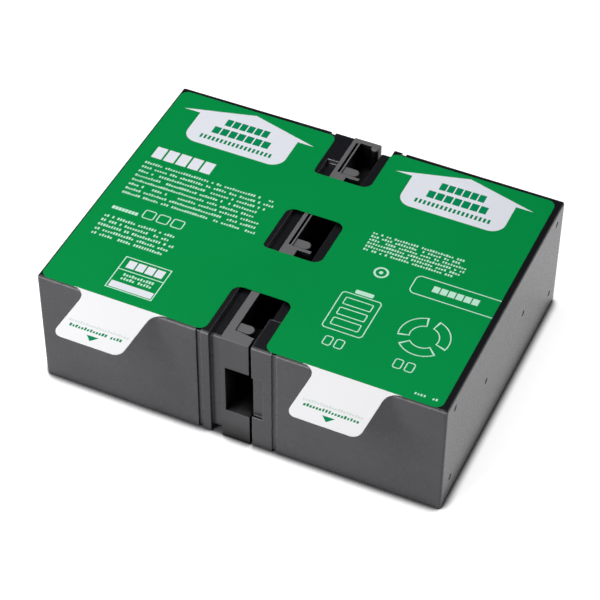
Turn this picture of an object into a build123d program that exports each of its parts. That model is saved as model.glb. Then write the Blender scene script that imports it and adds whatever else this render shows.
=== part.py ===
from build123d import *
from math import radians, tan
import os

# Battery cartridge for an uninterruptible power supply, in millimetres.
# X runs from the left block to the right one, -Y is the front with the pull tabs, +Z is up.
# The origin is the centre of the underside.

# Battery block, measured from its base, which faces outwards, to its lid, which faces the other block
block_long = 151.0
block_wide = 65.0
case_deep = 81.5
neck_high = 2.4
flange_high = 3.95
platform_high = 6.0
lid_gap = 15.3

# Container
base_wall = 2.8
side_wall = 2.5
end_wall = 2.6
partition = 1.6
case_draft = 0.4
long_edge_round = 1.3
base_edge_round = 1.2
ejector_mark_round = 1.5
ejector_mark_deep = 0.25
corner_mark_inset = 10.5
corner_mark_low = 12.5
corner_mark_drop = 6.7
middle_mark_y = 24.0
middle_mark_z = 36.0

# Lid
neck_inset = 1.0
lid_roof = 2.25
platform_inset = 2.4
platform_edge_round = 0.9
end_block_long = 20.0
step_round = 0.5
cover_wide = 22.0
cover_thick = 1.6
cover_rim = 1.1
cover_end_wall = 1.2
cover_clearance = 0.1
pry_slot_long = 6.0
pry_slot_wide = 0.8
pry_slot_deep = 0.5
end_recess_wide = 26.0
end_recess_high = 5.4
end_recess_deep = 1.8
well_wide = 14.0
well_long = 16.0
well_deep = 3.35

# Valves
stem_radius = 3.4
stem_bore = 1.6
cap_wall = 1.2
cap_roof = 0.9
cap_skirt = 2.4
cap_clearance = 0.05
cap_headroom = 0.1

# Terminals
terminal_z = 13.0
blade_wide = 6.35
blade_thick = 0.8
blade_stand = 7.95
blade_hole_radius = 0.9
blade_hole_inset = 3.3
blade_tip_chamfer = 0.9
blade_clearance = 0.1
foot_radius = 3.4
foot_thick = 1.0
foot_cover = 1.4
post_radius = 3.0
post_hole_radius = 4.0
seal_clearance = 0.1
seal_slot_clearance = 0.02

# Plates. A negative plate is thinner than a positive one by its share
plate_high = 62.0
plate_side_gap = 1.5
stack_play = 0.25
negative_share = 0.75
mat_thick = 0.9
mat_over = 1.2
positive_plates = 4
lug_wide = 9.0
lug_high = 5.0
strap_thick = 3.5
riser_thick = 2.6
riser_high = 6.5
weld_radius = 2.6
weld_clearance = 0.2

# Connector frame
frame_wide = 14.0
spine_thick = 2.0
floor_thick = 2.0
front_wall = 1.8
back_wall = 2.6
rail_wide = 4.05
rail_high = 10.0
groove_wide = 1.2
groove_deep = 4.0
groove_end_gap = 0.4
pocket_bottom = 18.3
pocket_top = 46.6
pocket_deep = 23.5
shelf_thick = 1.8
web_thick = 1.6
web_bottom = 21.7
web_headroom = 5.0
plate_thick = 2.4
front_plate_long = 7.0
front_plate_slope = 1.6
middle_plate_front = -13.5
middle_plate_long = 6.0
rear_plate_set_back = 32.0
rear_plate_long = 5.0
plate_strip = 1.1
plate_cut_wide = 6.5
finger_reach = 8.0
finger_long = 5.4
finger_high = 5.0
finger_gap = 0.7
finger_drop = 0.5
finger_root = 0.5
finger_round = 0.5
flange_lip_thick = 1.6
flange_lip_high = 10.0
flange_lip_front = -30.0
flange_lip_rear = 44.0
hook_thick = 1.2
hook_reach = 8.8
hook_wide = 4.0
hook_gap = 1.2
hook_places = (-20.0, -6.5)
window_clearance = 1.6
lead_window_long = 13.5
lead_window_drop = 7.0
corner_post_radius = 2.1
corner_post_high = 13.0
corner_post_proud = 1.7
corner_post_round = 0.8

# Leads and contacts
lead_radius = 1.8
lead_core_radius = 1.3
lead_core_long = 4.0
lead_floor_gap = 0.05
bend_share = 0.45
barrel_radius = 2.3
barrel_bore = 1.35
barrel_long = 8.0
barrel_root = 0.6
barrel_blind = 1.8
receptacle_wide = 7.8
receptacle_high = 3.0
receptacle_long = 7.6
receptacle_round = 0.9
receptacle_lift = 0.4
bridge_thick = 0.9
bridge_root = 0.5
barrel_inset = 0.85
contact_low_z = 27.0
contact_high_z = 43.0
contact_wide = 6.3
contact_high = 3.4
contact_leaf = 0.7
contact_long = 9.0
contact_tail = 7.5
contact_tail_wall = 0.55
contact_pinch = 0.35
contact_mouth = 1.0
contact_lead_in = 2.5
contact_clearance = 0.1
housing_wide = 10.6
housing_long = 18.0
housing_wall = 2.0
socket_wide = 7.2
socket_high = 10.0
socket_deep = 14.0
nose_step = 1.0
nose_inset = 0.6
nose_set_back = 0.3
nose_clearance = 0.15

# Foam tapes
tape_thick = 0.8
tape_wide = 10.0
tape_long = 100.0
tape_low_z = 22.0
tape_high_z = 38.0
edge_tape_wide = 6.0

# Label film
film_thick = 0.3
label_long = 198.4
label_deep = 146.6
label_x = -1.0
label_y = -0.9
label_corner = 4.0
window_long = 29.5
window_x = -1.35
window_corner = 4.5
window_tight_corner = 2.5
front_window_deep = 31.9
middle_window_deep = 29.7
middle_window_y = 0.95
rear_window_deep = 28.9
tab_wide = 34.2
tab_reach = 30.8
tab_end_gap = 24.6
tab_corner = 4.2
tab_root = 6.5

# Sizes that follow from those above
block_high = case_deep + neck_high + flange_high + platform_high
half_long = block_high + lid_gap / 2
half_deep = block_long / 2
half_gap = lid_gap / 2
cell_long = (block_long - 2 * end_wall - 5 * partition) / 6
cell_pitch = cell_long + partition
cells = [(index - 2.5) * cell_pitch for index in range(6)]
mid_z = block_wide / 2
other_z = block_wide - terminal_z
platform_base = block_high - platform_high
ceiling = platform_base - lid_roof
stem_high = platform_high - cover_thick - cap_roof - cap_headroom
plate_wide = block_wide - 2 * side_wall - 2 * plate_side_gap
stack_long = cell_long - stack_play
metal_long = stack_long - 2 * positive_plates * mat_thick
positive_thick = metal_long / (positive_plates + (positive_plates + 1) * negative_share)
negative_thick = negative_share * positive_thick
stack_step = positive_thick + negative_thick + 2 * mat_thick
plate_base = base_wall + mat_thick
lug_top = base_wall + mat_thick + plate_high + lug_high
strap_top = lug_top + strap_thick
weld_height = strap_top + riser_high / 2
well_floor = block_high - well_deep
foot_base = well_floor - foot_cover - foot_thick
blade_tip = well_floor + blade_stand
spine_left = -half_gap
spine_right = spine_left + spine_thick
frame_right = spine_left + frame_wide
rail_right = spine_left + rail_wide
rear_plate_front = half_deep - rear_plate_set_back
housing_front = half_deep - housing_long
socket_x = spine_right + housing_wide / 2
receptacle_base = -half_gap - well_deep + receptacle_lift
barrel_x = -half_gap + barrel_inset + barrel_radius
lead_floor_z = floor_thick + lead_radius + lead_floor_gap


def block(low, high):
    """Box between two corners."""
    size = [high[axis] - low[axis] for axis in range(3)]
    centre = [(high[axis] + low[axis]) / 2 for axis in range(3)]
    return Pos(*centre) * Box(*size)


def rod(base, radius, length, direction):
    """Cylinder from a base point along a direction."""
    return extrude(Plane(base, z_dir=direction) * Circle(radius), length)


# Cells alternate their polarity from side to side, so the first and last posts share one edge
def positive_side(cell):
    return terminal_z if cell % 2 == 0 else other_z


def negative_side(cell):
    return other_z if cell % 2 == 0 else terminal_z


# Container


def container():
    plan = Plane.XY * Polygon(
        (0, -half_deep + case_draft),
        (case_deep, -half_deep),
        (case_deep, half_deep),
        (0, half_deep - case_draft),
        align=None,
    )
    body = extrude(plan, block_wide)
    long_edges = [edge for edge in body.edges().filter_by(GeomType.LINE) if edge.bounding_box().size.X > 1]
    body = fillet(long_edges, long_edge_round)
    body = fillet(body.faces().sort_by(Axis.X)[0].edges(), base_edge_round)
    for centre in cells:
        low = (base_wall, centre - cell_long / 2, side_wall)
        high = (case_deep + 1, centre + cell_long / 2, block_wide - side_wall)
        body -= block(low, high)
    for cell in range(5):
        wall_y = cells[cell] + cell_pitch / 2
        start = (weld_height, wall_y - partition, negative_side(cell))
        body -= rod(start, weld_radius + weld_clearance, 2 * partition, (0, 1, 0))
    for mark_y, mark_z in ejector_marks():
        body -= rod((0, mark_y, mark_z), ejector_mark_round, ejector_mark_deep, (1, 0, 0))
    return body


def ejector_marks():
    corner_y = half_deep - corner_mark_inset
    marks = [(-middle_mark_y, middle_mark_z), (middle_mark_y, middle_mark_z)]
    for mark_y in (-corner_y, corner_y):
        marks += [(mark_y, corner_mark_low), (mark_y, block_wide - corner_mark_drop)]
    return marks


# Lid


def inset_slab(low, high, inset):
    return block(
        (low, -half_deep + inset, inset),
        (high, half_deep - inset, block_wide - inset),
    )


def lid():
    neck = inset_slab(case_deep, case_deep + neck_high, neck_inset)
    flange = inset_slab(case_deep + neck_high, platform_base, 0)
    long_edges = flange.edges().filter_by(Axis.X)
    flange = fillet(long_edges, long_edge_round)
    platform = inset_slab(platform_base, block_high, platform_inset)
    platform = fillet(platform.edges().filter_by(Axis.X), long_edge_round)
    platform = fillet(platform.faces().sort_by(Axis.X)[-1].edges(), platform_edge_round)
    body = neck + flange + platform + end_block()
    for centre in cells:
        low = (case_deep - 1, centre - cell_long / 2, side_wall)
        high = (ceiling, centre + cell_long / 2, block_wide - side_wall)
        body -= block(low, high)
    body -= trough_space()
    for centre in cells:
        body += rod((platform_base, centre, mid_z), stem_radius, stem_high, (1, 0, 0))
    for centre in cells:
        body -= rod((ceiling - 1, centre, mid_z), stem_bore, lid_roof + stem_high + 2, (1, 0, 0))
    for end in (0, 5):
        body -= block(
            (well_floor, cells[end] - well_long / 2, terminal_z - well_wide / 2),
            (block_high + 1, cells[end] + well_long / 2, terminal_z + well_wide / 2),
        )
        post_hole_deep = well_floor - ceiling + 2
        body -= rod((ceiling - 1, cells[end], terminal_z), post_hole_radius, post_hole_deep, (1, 0, 0))
    body -= block(
        (block_high - end_recess_high, half_deep - end_recess_deep, mid_z - end_recess_wide / 2),
        (block_high + 1, half_deep + 1, mid_z + end_recess_wide / 2),
    )
    return body


# One end of the lid keeps the full outline of the flange up to its top
def end_block():
    outer = block((platform_base, half_deep - end_block_long, 0), (block_high, half_deep, block_wide))
    end_edges = outer.edges().filter_by(Axis.X).group_by(Axis.Y)[-1]
    outer = fillet(end_edges, long_edge_round)
    step_edges = outer.faces().sort_by(Axis.Y)[0].edges().filter_by(Axis.Z).sort_by(Axis.X)
    return fillet(step_edges[-1], step_round)


def cover_half_long():
    return half_deep - platform_inset - end_recess_deep - cover_end_wall


# The trough has a rebate round its mouth, which the cover drops into flush
def trough_space():
    reach = cover_half_long()
    rebate = block(
        (block_high - cover_thick, -reach, mid_z - cover_wide / 2),
        (block_high + 1, reach, mid_z + cover_wide / 2),
    )
    trough = block(
        (platform_base, -reach + cover_rim, mid_z - cover_wide / 2 + cover_rim),
        (block_high + 1, reach - cover_rim, mid_z + cover_wide / 2 - cover_rim),
    )
    return rebate + trough


def vent_cover():
    reach = cover_half_long() - cover_clearance
    half = cover_wide / 2 - cover_clearance
    strip = block(
        (block_high - cover_thick, -reach, mid_z - half),
        (block_high, reach, mid_z + half),
    )
    for index in range(5):
        slot_y = cells[index] + cell_pitch / 2
        strip -= block(
            (block_high - pry_slot_deep, slot_y - pry_slot_long / 2, mid_z - half - 1),
            (block_high + 1, slot_y + pry_slot_long / 2, mid_z - half + pry_slot_wide),
        )
    return strip


def valve_caps():
    stem_top = platform_base + stem_high
    inner = stem_radius + cap_clearance
    caps = []
    for centre in cells:
        cap = rod((stem_top - cap_skirt, centre, mid_z), inner + cap_wall, cap_skirt + cap_roof, (1, 0, 0))
        cap -= rod((stem_top - cap_skirt - 1, centre, mid_z), inner, cap_skirt + 1, (1, 0, 0))
        caps.append(cap)
    return Compound(caps)


# Terminals


def terminal(end):
    centre = cells[end]
    foot = rod((foot_base, centre, terminal_z), foot_radius, foot_thick, (1, 0, 0))
    blade = block(
        (foot_base, centre - blade_wide / 2, terminal_z - blade_thick / 2),
        (blade_tip, centre + blade_wide / 2, terminal_z + blade_thick / 2),
    )
    blade = chamfer(blade.faces().sort_by(Axis.X)[-1].edges().filter_by(Axis.Z), blade_tip_chamfer)
    hole_x = blade_tip - blade_hole_inset
    blade -= rod((hole_x, centre, terminal_z - 1), blade_hole_radius, 2, (0, 0, 1))
    return foot + blade


def terminal_seals():
    seals = []
    start = foot_base + foot_thick
    slot_wide = blade_wide / 2 + seal_slot_clearance
    slot_thick = blade_thick / 2 + seal_slot_clearance
    for end in (0, 5):
        plug = rod((start, cells[end], terminal_z), post_hole_radius - seal_clearance, foot_cover, (1, 0, 0))
        plug -= block(
            (start - 1, cells[end] - slot_wide, terminal_z - slot_thick),
            (well_floor + 1, cells[end] + slot_wide, terminal_z + slot_thick),
        )
        seals.append(plug)
    return Compound(seals)


# Plate stacks. A negative plate lies at both ends of each stack, a mat on both faces of each positive plate


def lugged_plate(start_y, thick, base, lug_z):
    plate = block(
        (base, start_y, mid_z - plate_wide / 2),
        (plate_base + plate_high, start_y + thick, mid_z + plate_wide / 2),
    )
    lug = block(
        (plate_base + plate_high, start_y, lug_z - lug_wide / 2),
        (lug_top, start_y + thick, lug_z + lug_wide / 2),
    )
    return plate + lug


def positive_start(cell, index):
    return cells[cell] - stack_long / 2 + negative_thick + mat_thick + index * stack_step


def negative_start(cell, index):
    return cells[cell] - stack_long / 2 + index * stack_step


def positive_plate_group():
    plates = []
    for cell in range(6):
        for index in range(positive_plates):
            start_y = positive_start(cell, index)
            plates.append(lugged_plate(start_y, positive_thick, plate_base, positive_side(cell)))
    return Compound(plates)


def negative_plate_group():
    plates = []
    for cell in range(6):
        for index in range(positive_plates + 1):
            start_y = negative_start(cell, index)
            plates.append(lugged_plate(start_y, negative_thick, base_wall, negative_side(cell)))
    return Compound(plates)


# Each mat is folded under its positive plate and stands a little taller and wider than it.
# The lugs of both polarities rise between the mats
def separator_group():
    mats = []
    half = plate_wide / 2 + mat_over
    for cell in range(6):
        for index in range(positive_plates):
            start_y = positive_start(cell, index)
            outer = block(
                (base_wall, start_y - mat_thick, mid_z - half),
                (plate_base + plate_high + mat_over, start_y + positive_thick + mat_thick, mid_z + half),
            )
            inner = block(
                (plate_base, start_y, mid_z - half - 1),
                (plate_base + plate_high + mat_over + 1, start_y + positive_thick, mid_z + half + 1),
            )
            mats.append(outer - inner)
    return Compound(mats)


# Cast straps over the lugs


def strap_bar(cell, side_z, count, starts, thick):
    first = starts(cell, 0)
    last = starts(cell, count - 1) + thick
    return block(
        (lug_top, first, side_z - lug_wide / 2),
        (strap_top, last, side_z + lug_wide / 2),
    )


def riser(wall_y, side_z, towards):
    low = wall_y - riser_thick if towards > 0 else wall_y
    return block(
        (strap_top - strap_thick, low, side_z - lug_wide / 2),
        (strap_top + riser_high, low + riser_thick, side_z + lug_wide / 2),
    )


def cell_straps():
    straps = []
    for cell in range(5):
        side_z = negative_side(cell)
        wall_low = cells[cell] + cell_long / 2
        wall_high = wall_low + partition
        link = strap_bar(cell, side_z, positive_plates + 1, negative_start, negative_thick)
        link += strap_bar(cell + 1, side_z, positive_plates, positive_start, positive_thick)
        link += riser(wall_low, side_z, 1)
        link += block(
            (lug_top, wall_high, side_z - lug_wide / 2),
            (strap_top, positive_start(cell + 1, 0) + 1, side_z + lug_wide / 2),
        )
        link += riser(wall_high, side_z, -1)
        link += rod((weld_height, wall_low - 1, side_z), weld_radius, partition + 2, (0, 1, 0))
        straps.append(link)
    first = strap_bar(0, terminal_z, positive_plates, positive_start, positive_thick)
    last = strap_bar(5, terminal_z, positive_plates + 1, negative_start, negative_thick)
    for bar, end in ((first, 0), (last, 5)):
        post = rod((strap_top - 1, cells[end], terminal_z), post_radius, foot_base - strap_top + 1, (1, 0, 0))
        straps.append(bar + post)
    return Compound(straps)


# Connector frame, open towards the right lid


def cross_plate(front, long):
    plate = block(
        (spine_right, front, block_wide - plate_thick),
        (frame_right, front + long, block_wide),
    )
    plate -= block(
        (frame_right - plate_cut_wide, front - 1, block_wide - plate_thick - 1),
        (frame_right + 1, front + long - plate_strip, block_wide + 1),
    )
    return plate


# A finger reaches over the channel behind each cross plate and keeps the wiring down
def finger(plate_rear):
    front = plate_rear + finger_gap
    top = block_wide - finger_drop
    tip_x = rail_right + finger_reach - finger_long / 2
    bar = block(
        (rail_right - finger_root, front, top - finger_high),
        (tip_x, front + finger_long, top),
    )
    tip = rod((tip_x, front + finger_long / 2, top - finger_high), finger_long / 2, finger_high, (0, 0, 1))
    body = bar + tip
    return fillet(body.faces().sort_by(Axis.Z)[-1].edges().filter_by(Axis.X), finger_round)


def connector_frame():
    full = half_deep
    body = block((spine_left, -full, 0), (spine_right, full, block_wide))
    body += block((spine_left, -full, 0), (frame_right, full, floor_thick))
    body += block((spine_left, -full, 0), (frame_right, -full + front_wall, block_wide))
    body += block((spine_left, full - back_wall, 0), (frame_right, full, block_wide))
    body += block((spine_left, -full, block_wide - rail_high), (rail_right, full, block_wide))
    body += pocket_box()
    front_plate_rear = -full + front_plate_long
    body += block(
        (spine_right, -full, block_wide - plate_thick),
        (frame_right, front_plate_rear, block_wide),
    )
    body -= front_plate_ramp(front_plate_rear)
    body += cross_plate(middle_plate_front, middle_plate_long)
    body += cross_plate(rear_plate_front, rear_plate_long)
    middle_rear = middle_plate_front + middle_plate_long
    rear_rear = rear_plate_front + rear_plate_long
    body += block(
        (spine_right, middle_rear - web_thick, web_bottom),
        (frame_right, middle_rear, block_wide),
    )
    body += block(
        (spine_right, rear_rear - web_thick, contact_high_z + barrel_radius + web_headroom),
        (frame_right, rear_rear, block_wide),
    )
    for rear, next_front in ((middle_rear, rear_plate_front), (rear_rear, full - back_wall)):
        body -= block(
            (spine_right, rear + groove_end_gap, block_wide - groove_deep),
            (spine_right + groove_wide, next_front - groove_end_gap, block_wide + 1),
        )
    for rear in (front_plate_rear, middle_rear, rear_rear):
        body += finger(rear)
    body += block(
        (frame_right - flange_lip_thick, flange_lip_front, 0),
        (frame_right, flange_lip_rear, flange_lip_high),
    )
    for place in hook_places:
        body += hook(place)
    body += corner_post()
    body -= housing_body()
    return body - frame_openings()


def front_plate_ramp(rear):
    wedge = Plane.XZ * Polygon(
        (frame_right - plate_cut_wide, block_wide),
        (frame_right + 1, block_wide + 1),
        (frame_right + 1, block_wide - front_plate_slope),
        align=None,
    )
    return Pos(0, rear - plate_strip, 0) * extrude(wedge, front_plate_long - plate_strip - front_wall)


# The front opening leads into a pocket with a floor, a roof and a rear wall
def pocket_box():
    start = -half_deep
    end = start + front_wall + pocket_deep
    box = block(
        (spine_right, start, pocket_bottom - shelf_thick),
        (frame_right, end + shelf_thick, pocket_top + shelf_thick),
    )
    box -= block(
        (spine_right, start - 1, pocket_bottom),
        (frame_right + 1, end, pocket_top),
    )
    return box


def hook(place):
    height = floor_thick + 2 * lead_radius + lead_floor_gap + hook_gap
    return block(
        (spine_left, place - hook_wide / 2, height),
        (spine_right + hook_reach, place + hook_wide / 2, height + hook_thick),
    )


def corner_post():
    centre_x = frame_right - corner_post_radius
    centre_y = half_deep - back_wall - corner_post_radius + corner_post_proud
    base = (centre_x, centre_y, block_wide - corner_post_high)
    post = rod(base, corner_post_radius, corner_post_high, (0, 0, 1))
    return fillet(post.faces().sort_by(Axis.Z)[-1].edges(), corner_post_round)


# Front opening, rear nose window and the spine windows that the receptacles pass through
def frame_openings():
    full = half_deep
    openings = block(
        (spine_right, -full - 1, pocket_bottom),
        (frame_right + 1, -full + front_wall + 1, pocket_top),
    )
    openings += nose_box(0)
    half_window = receptacle_wide / 2 + window_clearance
    low_z = terminal_z - receptacle_high / 2 - window_clearance
    high_z = terminal_z + receptacle_high / 2 + window_clearance
    openings += block(
        (spine_left - 1, cells[5] - half_window, low_z),
        (spine_right + 1, cells[5] + half_window, high_z),
    )
    barrel_end = cells[0] + receptacle_wide / 2 + barrel_long
    openings += block(
        (spine_left - 1, cells[0] - half_window, terminal_z - lead_window_drop),
        (spine_right + 1, barrel_end + lead_window_long, terminal_z + barrel_radius + window_clearance),
    )
    return openings + tape_strip(tape_low_z) + tape_strip(tape_high_z)


# Contact housing with two sockets that open to the rear


def nose_box(clearance):
    low_z = contact_low_z - socket_high / 2 - nose_step + clearance
    high_z = contact_high_z + socket_high / 2 + nose_step - clearance
    half = housing_wide / 2 - nose_inset - clearance
    return block(
        (socket_x - half, half_deep - back_wall - 1, low_z),
        (socket_x + half, half_deep + 1, high_z),
    )


def housing_body():
    low_z = contact_low_z - socket_high / 2 - housing_wall
    high_z = contact_high_z + socket_high / 2 + housing_wall
    return block(
        (spine_right, housing_front, low_z),
        (spine_right + housing_wide, half_deep - back_wall, high_z),
    )


def contact_housing():
    body = housing_body()
    frame_space = block((-half_gap, 0, 0), (half_gap, half_deep - nose_set_back, block_wide))
    body += nose_box(nose_clearance) & frame_space
    across = contact_high / 2 + contact_clearance
    along = contact_wide / 2 + contact_clearance
    for centre_z in (contact_low_z, contact_high_z):
        body -= block(
            (socket_x - socket_wide / 2, half_deep - socket_deep, centre_z - socket_high / 2),
            (socket_x + socket_wide / 2, half_deep + 1, centre_z + socket_high / 2),
        )
        body -= block(
            (socket_x - across, housing_front - 1, centre_z - along),
            (socket_x + across, half_deep - socket_deep + 1, centre_z + along),
        )
    return body


# Two sprung leaves that pinch the mating blade, a base in the housing and a crimped tail
def contact(centre_z):
    base_end = half_deep - socket_deep
    base = block(
        (socket_x - contact_high / 2, housing_front, centre_z - contact_wide / 2),
        (socket_x + contact_high / 2, base_end, centre_z + contact_wide / 2),
    )
    half = contact_high / 2
    waist = contact_long - contact_lead_in
    outline = Polygon(
        (half, 0),
        (half, contact_mouth),
        (contact_pinch + contact_leaf, waist),
        (half, contact_long),
        (half - contact_leaf, contact_long),
        (contact_pinch, waist),
        (half - contact_leaf, contact_mouth),
        (half - contact_leaf, 0),
        align=None,
    )
    leaf = extrude(outline, contact_wide)
    leaf = Pos(socket_x, base_end, centre_z - contact_wide / 2) * leaf
    other = mirror(leaf, about=Plane.YZ.offset(socket_x))
    tail_radius = barrel_bore + contact_tail_wall
    tail = rod((socket_x, housing_front - contact_tail, centre_z), tail_radius, contact_tail, (0, 1, 0))
    body = base + leaf + other + tail
    body -= rod((socket_x, housing_front - contact_tail - 1, centre_z), barrel_bore, contact_tail, (0, 1, 0))
    return body


# Receptacles on the battery blades


def blade_socket(end):
    """Flattened tube on a blade of the left block, with its slot open towards that block."""
    centre = cells[end]
    shell = block(
        (receptacle_base, centre - receptacle_wide / 2, terminal_z - receptacle_high / 2),
        (receptacle_base + receptacle_long, centre + receptacle_wide / 2, terminal_z + receptacle_high / 2),
    )
    shell = fillet(shell.edges().filter_by(Axis.X), receptacle_round)
    half = blade_wide / 2 + blade_clearance
    slot_high = blade_thick / 2 + blade_clearance
    shell -= block(
        (receptacle_base - 1, centre - half, terminal_z - slot_high),
        (blade_tip - half_long + 3 * blade_clearance, centre + half, terminal_z + slot_high),
    )
    return shell


def flag_receptacle():
    body = blade_socket(0)
    start = cells[0] + receptacle_wide / 2 - barrel_root
    body += rod((barrel_x, start, terminal_z), barrel_radius, barrel_long + barrel_root, (0, 1, 0))
    bore_start = cells[0] + receptacle_wide / 2 + barrel_blind
    body -= rod((barrel_x, bore_start, terminal_z), barrel_bore, barrel_long, (0, 1, 0))
    return body


def turned(shape):
    return Rot(0, 0, 180) * shape


def lead_receptacles():
    first = flag_receptacle()
    second = mirror(first, about=Plane.YZ)
    return Compound([first, second])


def series_link():
    left = blade_socket(5)
    right = mirror(left, about=Plane.YZ)
    end_x = receptacle_base + receptacle_long - bridge_root
    low_z = terminal_z - receptacle_high / 2
    bridge = block(
        (end_x, cells[5] - blade_wide / 2, low_z),
        (-end_x, cells[5] + blade_wide / 2, low_z + bridge_thick),
    )
    return left + right + bridge


# Leads. Each bend is as large as the two runs beside it allow


def bend_radii(points):
    radii = []
    for before, corner, after in zip(points, points[1:], points[2:]):
        first = Vector(*corner) - Vector(*before)
        second = Vector(*after) - Vector(*corner)
        half_turn = first.get_angle(second) / 2
        shorter = min(first.length, second.length)
        radii.append(bend_share * shorter / tan(radians(half_turn)))
    return radii


def lead(points):
    radii = bend_radii(points)
    print("lead radii", [round(radius, 1) for radius in radii])
    path = FilletPolyline(*points, radius=radii)
    start = Plane(origin=points[0], z_dir=(0, 1, 0))
    jacket = sweep(start * Circle(lead_radius), path=path)
    core_in = rod(points[0], lead_core_radius, lead_core_long, (0, -1, 0))
    core_out = rod(points[-1], lead_core_radius, lead_core_long, (0, 1, 0))
    return jacket + core_in + core_out


lead_start_y = cells[0] + receptacle_wide / 2 + barrel_long
lead_end_y = housing_front - contact_tail
positive_route = [
    (barrel_x, lead_start_y, terminal_z),
    (barrel_x, lead_start_y + 6, terminal_z),
    (-3.7, -34.0, 6.0),
    (-3.5, -23.0, lead_floor_z),
    (-3.4, -2.0, lead_floor_z + 0.05),
    (-3.3, 19.0, 5.0),
    (-1.6, 29.5, 13.5),
    (socket_x, 38.0, 23.5),
    (socket_x, lead_end_y - 6, contact_low_z),
    (socket_x, lead_end_y, contact_low_z),
]
negative_route = [
    (-barrel_x, lead_start_y, terminal_z),
    (-barrel_x, lead_start_y + 6, terminal_z),
    (2.6, -34.0, 6.0),
    (1.3, -23.0, lead_floor_z),
    (1.2, -5.0, lead_floor_z + 0.05),
    (1.5, 9.5, 8.0),
    (1.2, 21.5, 19.5),
    (0.4, 31.5, 32.5),
    (socket_x, 39.5, 41.0),
    (socket_x, lead_end_y - 5.5, contact_high_z),
    (socket_x, lead_end_y, contact_high_z),
]


# Foam tapes


def tape_strip(low_z):
    return block(
        (-half_gap, -tape_long / 2, low_z),
        (-half_gap + tape_thick, tape_long / 2, low_z + tape_wide),
    )


def edge_tape():
    return block(
        (frame_right, flange_lip_front, floor_thick),
        (half_gap, flange_lip_rear, floor_thick + edge_tape_wide),
    )


# Label film with three windows and two pull tabs


def top_label():
    front = label_y - label_deep / 2
    back = label_y + label_deep / 2
    sheet = Pos(label_x, label_y) * RectangleRounded(label_long, label_deep, label_corner)
    for centre in tab_centres():
        sheet += Pos(centre, front - tab_reach / 2) * Rectangle(tab_wide, tab_reach)
    roots = sheet.vertices().filter_by(lambda v: abs(v.Y - front) < 0.01 and tab_edge(v.X))
    sheet = fillet(roots, tab_root)
    tips = sheet.vertices().filter_by(lambda v: abs(v.Y - (front - tab_reach)) < 0.01)
    sheet = fillet(tips, tab_corner)
    sheet -= edge_window(front, front_window_deep, 1)
    sheet -= edge_window(back, rear_window_deep, -1)
    sheet -= window(middle_window_y, middle_window_deep)
    return Pos(0, 0, block_wide) * extrude(sheet, film_thick)


def tab_centres():
    offset = label_long / 2 - tab_end_gap - tab_wide / 2
    return (label_x - offset, label_x + offset)


def tab_edge(x):
    return min(abs(abs(x - centre) - tab_wide / 2) for centre in tab_centres()) < 0.01


# The front left corner of a window is cut tighter than the others
def window(middle_y, deep):
    opening = Pos(window_x, middle_y) * Rectangle(window_long, deep)
    corners = opening.vertices().group_by(Axis.X)
    opening = fillet(corners[-1] + [corners[0].sort_by(Axis.Y)[-1]], window_corner)
    tight = opening.vertices().sort_by(Axis.X)[:2].sort_by(Axis.Y)[0]
    return fillet(tight, window_tight_corner)


# A window that opens through the film's edge, with rounded corners on both sides of the mouth
def edge_window(edge_y, deep, inward):
    mouth = window(edge_y, 2 * deep)
    flare = Pos(window_x, edge_y - inward * label_corner) * Rectangle(
        window_long + 4 * label_corner, 4 * label_corner
    )
    for side in (-1, 1):
        centre_x = window_x + side * (window_long / 2 + label_corner)
        flare -= Pos(centre_x, edge_y + inward * label_corner) * Circle(label_corner)
        outer_x = window_x + side * (window_long / 2 + 2 * label_corner)
        flare -= Pos(outer_x, edge_y) * Rectangle(2 * label_corner, 6 * label_corner)
    return mouth + flare


# Every sub-part under its own name


def assembly():
    to_left = Pos(-half_long, 0, 0)
    blocks = {
        "container": container(),
        "lid": lid(),
        "vent_cover": vent_cover(),
        "valve_caps": valve_caps(),
        "positive_terminal": terminal(0),
        "negative_terminal": terminal(5),
        "terminal_seals": terminal_seals(),
        "positive_plates": positive_plate_group(),
        "negative_plates": negative_plate_group(),
        "separators": separator_group(),
        "cell_straps": cell_straps(),
    }
    nodes = {}
    for name, shape in blocks.items():
        nodes["left_" + name] = to_left * shape
        nodes["right_" + name] = turned(to_left * shape)
    nodes["connector_frame"] = connector_frame()
    nodes["contact_housing"] = contact_housing()
    nodes["positive_contact"] = contact(contact_low_z)
    nodes["negative_contact"] = contact(contact_high_z)
    nodes["lead_receptacles"] = lead_receptacles()
    nodes["series_link"] = series_link()
    nodes["positive_lead"] = lead(positive_route)
    nodes["negative_lead"] = lead(negative_route)
    nodes["left_tape_strips"] = Compound([tape_strip(tape_low_z), tape_strip(tape_high_z)])
    nodes["right_tape_strip"] = edge_tape()
    nodes["top_label"] = top_label()
    return nodes


os.makedirs("parts", exist_ok=True)
for node, shape in assembly().items():
    export_step(shape, "parts/" + node + ".step")
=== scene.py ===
import math

import bmesh
import bpy
from mathutils import Matrix, Vector


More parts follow.
